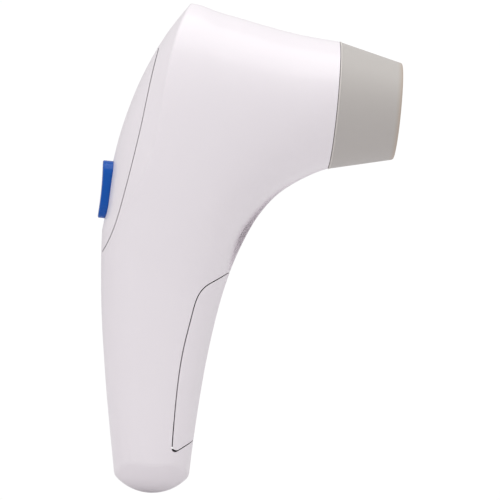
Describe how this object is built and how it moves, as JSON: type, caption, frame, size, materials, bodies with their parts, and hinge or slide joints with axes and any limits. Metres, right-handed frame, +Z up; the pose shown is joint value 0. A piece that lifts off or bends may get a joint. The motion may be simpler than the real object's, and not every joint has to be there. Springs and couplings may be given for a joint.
{
  "type": "handheld scanner",
  "caption": "Cordless pistol-shaped optical scanner: white two-part body, grey conical nose with a wide window, blue thumb button and a battery door on the handle.",
  "frame": {"origin": "centre of the nose opening, in the plane of its front rim", "axes": "+X out of the nose along the optical axis, +Z up from the handle through the barrel, +Y to the left of someone looking along +X"},
  "size_m": [0.1125, 0.057, 0.1911],
  "materials": {
    "white_plastic": "satin moulded white",
    "grey_plastic": "soft satin grey",
    "blue_plastic": "gloss",
    "black_plastic": "matt",
    "seal_rubber": "matt",
    "seal_black": "matt",
    "switch_plastic": "matt",
    "foam": "foam",
    "board": "solder resist",
    "light_board": "white solder resist",
    "cell": "satin sleeve",
    "plated": "nickel plated",
    "steel": "zinc plated",
    "ferrite": "ferrite",
    "window_glass": "clear",
    "lens_glass": "coated",
    "diode": "clear resin",
    "diffuser": "frosted",
    "black_metal": "black anodised",
    "sensor": "glass covered",
    "chip": "matt",
    "ribbon": "polyimide film"
  },
  "bodies": {
    "housing": {"housing_left": "white_plastic", "housing_right": "white_plastic", "rear_cover": "white_plastic", "housing_screws": "steel", "switch_body": "black_plastic", "button_board": "board", "battery_tray": "black_plastic", "battery_cell_left": "cell", "battery_cell_right": "cell", "contact_plates": "plated", "battery_spring_low": "plated", "battery_spring_high": "plated", "power_board": "board", "power_coil": "ferrite", "cone_mount": "black_plastic", "cone_o_ring": "seal_black", "window_gasket": "seal_black", "front_window": "window_glass", "window_retainer": "black_plastic", "light_board": "light_board", "light_diodes": "diode", "diffuser_ring": "diffuser", "light_baffle": "black_plastic", "lens_barrel": "black_metal", "lens_front": "lens_glass", "lens_rear": "lens_glass", "lens_spacer": "black_metal", "lens_retainer": "black_metal", "optics_chassis": "black_plastic", "chassis_screws": "steel", "sensor_board": "board", "image_sensor": "sensor", "sensor_screws": "steel", "main_board": "board", "main_processor": "chip", "shield_can": "plated", "wireless_module": "plated", "beeper": "chip", "ribbon_cable": "ribbon"},
    "nose": {"nose_cone": "grey_plastic", "nose_liner": "black_plastic", "nose_seal": "seal_rubber"},
    "button": {"thumb_button": "blue_plastic"},
    "plunger": {"switch_plunger": "switch_plastic"},
    "door": {"battery_door": "white_plastic", "door_pad": "foam"}
  },
  "joints": [
    {"name": "button_press", "type": "slide", "parent": "housing", "child": "button", "axis": [1, 0, 0], "range_m": [0, 0.001], "stiffness_N_per_m": 800},
    {"name": "plunger_press", "type": "slide", "parent": "housing", "child": "plunger", "axis": [1, 0, 0], "range_m": [0, 0.001]},
    {"name": "door_release", "type": "slide", "parent": "housing", "child": "door", "axis": [0.8, 0, 0.6], "range_m": [0, 0.025]},
    {"name": "nose_release", "type": "slide", "parent": "housing", "child": "nose", "axis": [1, 0, 0], "range_m": [0, 0.03]}
  ],
  "couplings": [
    {"joint": "plunger_press", "follows": "button_press", "ratio": 1}
  ]
}
